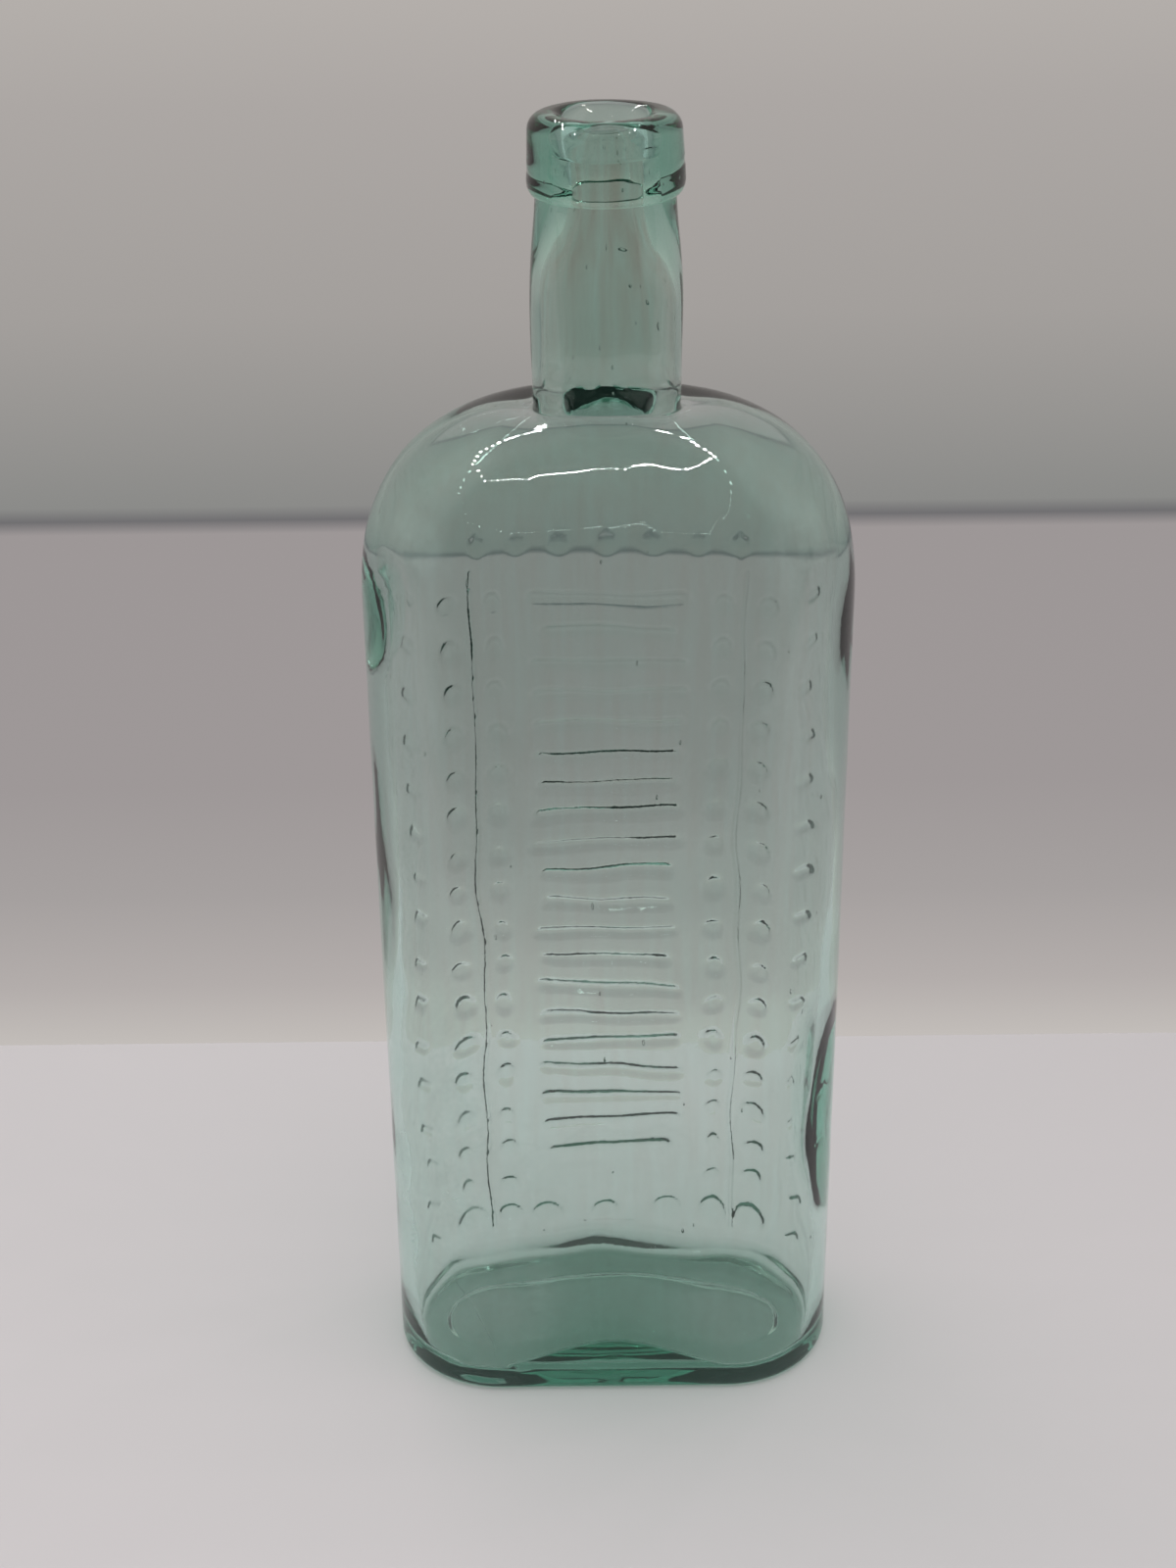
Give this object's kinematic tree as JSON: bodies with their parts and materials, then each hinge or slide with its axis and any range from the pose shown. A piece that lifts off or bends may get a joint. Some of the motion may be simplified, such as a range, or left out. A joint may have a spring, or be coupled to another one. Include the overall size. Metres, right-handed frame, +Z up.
{
  "type": "poison bottle",
  "caption": "Flat-sided aqua glass bottle with round ends, a raised touch pattern on its back and an applied lip on a swelling neck.",
  "frame": {"origin": "middle of the base, on the plane that the bottle stands on", "axes": "+Z up the bottle's axis, -Y out of the plain label side, +Y out of the raised back, X across the wide way"},
  "size_m": [0.083, 0.042, 0.2343],
  "materials": {
    "body_glass": "mould-blown aqua glass, lightly whittled, with seeds and some haze inside",
    "lip_glass": "tooled aqua glass, fire-smooth, with stretched seeds"
  },
  "bodies": {
    "root": {"glass_body": "body_glass", "applied_lip": "lip_glass"}
  },
  "joints": []
}
